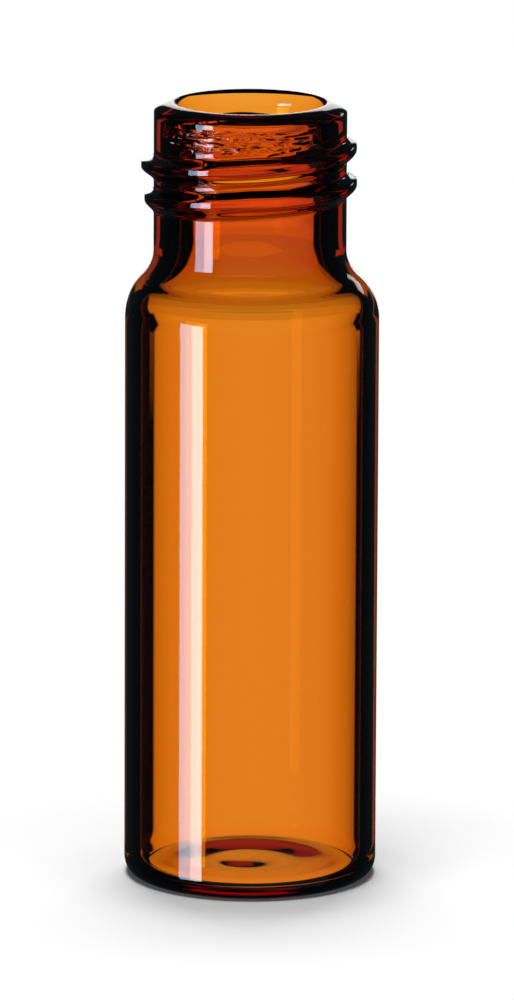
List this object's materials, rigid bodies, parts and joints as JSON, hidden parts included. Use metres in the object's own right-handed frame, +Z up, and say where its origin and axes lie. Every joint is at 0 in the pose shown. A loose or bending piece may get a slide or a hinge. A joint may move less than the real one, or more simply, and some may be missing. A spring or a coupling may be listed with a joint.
{
  "type": "glass sample vial",
  "caption": "Small amber glass vial: straight thin-walled body, rounded shoulder, right-hand screw thread on the neck, rounded sealing rim and a foot pushed up in the middle.",
  "frame": {"origin": "centre of the ring that the vial stands on", "axes": "+Z up along the vial's axis and out of its mouth; -Y is the side that the thread's two full ridges cross, with the thread's ends towards +Y"},
  "size_m": [0.0146, 0.0146, 0.0455],
  "materials": {
    "amber_glass": "clear fire-polished amber glass"
  },
  "bodies": {
    "root": {"vial": "amber_glass"}
  },
  "joints": []
}
